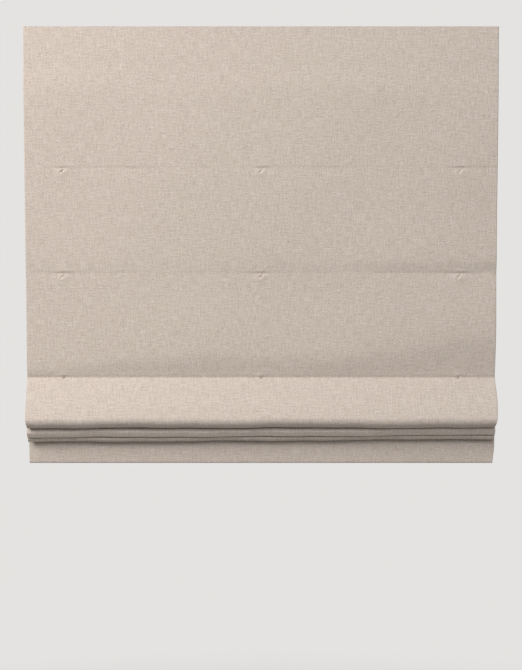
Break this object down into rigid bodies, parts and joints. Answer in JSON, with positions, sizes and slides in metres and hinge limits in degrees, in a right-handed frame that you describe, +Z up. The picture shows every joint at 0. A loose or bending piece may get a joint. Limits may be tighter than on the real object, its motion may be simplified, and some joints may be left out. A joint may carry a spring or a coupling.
{
  "type": "roman blind",
  "caption": "Flat roman blind of plain linen with lining, gathered into soft pleats at the foot, on a sprung headrail with lift tapes and no pull cord.",
  "frame": {"origin": "middle of the four bracket screw holes, on the brackets' top face", "axes": "+Z up out of the brackets, +X across the blind to the right seen from the front, +Y towards the window; the front faces -Y"},
  "size_m": [0.914, 0.0698, 0.8483],
  "materials": {
    "linen": "plain woven linen",
    "lining_cotton": "plain cotton",
    "woven_tape": "woven polyester",
    "hook_and_loop": "hook and loop",
    "enamelled_steel": "white enamel",
    "plain_steel": "bright",
    "zinc_steel": "zinc plated",
    "aluminium_bar": "mill finish",
    "fibreglass": "pultruded",
    "clear_plastic": "moulded",
    "moulded_plastic": "moulded"
  },
  "bodies": {
    "headrail_body": {"bracket_left": "zinc_steel", "bracket_right": "zinc_steel", "bracket_rivet_left": "plain_steel", "bracket_rivet_right": "plain_steel", "end_cap_left": "moulded_plastic", "end_cap_right": "moulded_plastic", "face_cloth": "linen", "headrail": "enamelled_steel", "hook_strip": "hook_and_loop", "lift_tape_centre": "woven_tape", "lift_tape_left": "woven_tape", "lift_tape_right": "woven_tape", "lining": "lining_cotton", "loop_strip": "hook_and_loop", "motor_case": "moulded_plastic", "motor_cover": "moulded_plastic", "motor_screws": "plain_steel", "motor_spring": "plain_steel", "spool_cradle_centre": "moulded_plastic", "spool_cradle_left": "moulded_plastic", "spool_cradle_right": "moulded_plastic"},
    "lift_shaft_body": {"lift_shaft": "plain_steel", "motor_output_spool": "moulded_plastic", "lift_spool_left": "moulded_plastic", "lift_spool_centre": "moulded_plastic", "lift_spool_right": "moulded_plastic"},
    "store_spool_body": {"motor_store_spool": "moulded_plastic"},
    "lever_left_body": {"bracket_lever_left": "moulded_plastic"},
    "lever_right_body": {"bracket_lever_right": "moulded_plastic"},
    "row_1": {"row_rod_1": "fibreglass", "row_rings_1": "clear_plastic"},
    "row_2": {"row_rod_2": "fibreglass", "row_rings_2": "clear_plastic"},
    "row_3": {"row_rod_3": "fibreglass", "row_rings_3": "clear_plastic"},
    "row_4": {"row_rod_4": "fibreglass", "row_rings_4": "clear_plastic"},
    "row_5": {"row_rod_5": "fibreglass", "row_rings_5": "clear_plastic"},
    "row_6": {"row_rod_6": "fibreglass", "row_rings_6": "clear_plastic", "tape_clips": "clear_plastic", "weight_bar": "aluminium_bar"}
  },
  "joints": [
    {"name": "lift_shaft_turn", "type": "hinge", "parent": "headrail_body", "child": "lift_shaft_body", "pos_m": [0, -0.0045, -0.036], "axis": [-1, 0, 0], "range_deg": [0, 2747.4]},
    {"name": "store_spool_turn", "type": "hinge", "parent": "headrail_body", "child": "store_spool_body", "pos_m": [0, 0.01455, -0.042], "axis": [-1, 0, 0], "range_deg": [-2939.6, 0]},
    {"name": "row_1_rise", "type": "slide", "parent": "headrail_body", "child": "row_1", "axis": [0, 0, 1], "range_m": [0, 0.195]},
    {"name": "row_2_rise", "type": "slide", "parent": "row_1", "child": "row_2", "axis": [0, 0, 1], "range_m": [0, 0.1902]},
    {"name": "row_3_rise", "type": "slide", "parent": "row_2", "child": "row_3", "axis": [0, 0, 1], "range_m": [0, 0.1902], "deforming": ["face_cloth", "lining", "lift_tape_left", "lift_tape_centre", "lift_tape_right"]},
    {"name": "row_4_drop", "type": "slide", "parent": "row_3", "child": "row_4", "axis": [0, 0, 1], "range_m": [-0.19, 0]},
    {"name": "row_5_drop", "type": "slide", "parent": "row_4", "child": "row_5", "axis": [0, 0, 1], "range_m": [-0.1902, 0]},
    {"name": "row_6_drop", "type": "slide", "parent": "row_5", "child": "row_6", "axis": [0, 0, 1], "range_m": [-0.1822, 0]},
    {"name": "bracket_lever_left_swing", "type": "hinge", "parent": "headrail_body", "child": "lever_left_body", "pos_m": [-0.3, 0, -0.003], "axis": [0, 0, 1], "range_deg": [-90, 0]},
    {"name": "bracket_lever_right_swing", "type": "hinge", "parent": "headrail_body", "child": "lever_right_body", "pos_m": [0.3, 0, -0.003], "axis": [0, 0, 1], "range_deg": [0, 90]}
  ],
  "couplings": [
    {"joint": "lift_shaft_turn", "follows": "row_1_rise", "rad_per_m": 245.73},
    {"joint": "store_spool_turn", "follows": "row_1_rise", "rad_per_m": -262.93},
    {"joint": "row_2_rise", "follows": "row_1_rise", "ratio": 0.97436},
    {"joint": "row_3_rise", "follows": "row_1_rise", "ratio": 0.97436},
    {"joint": "row_5_drop", "follows": "row_4_drop", "ratio": 1},
    {"joint": "row_6_drop", "follows": "row_4_drop", "ratio": 0.9579}
  ]
}
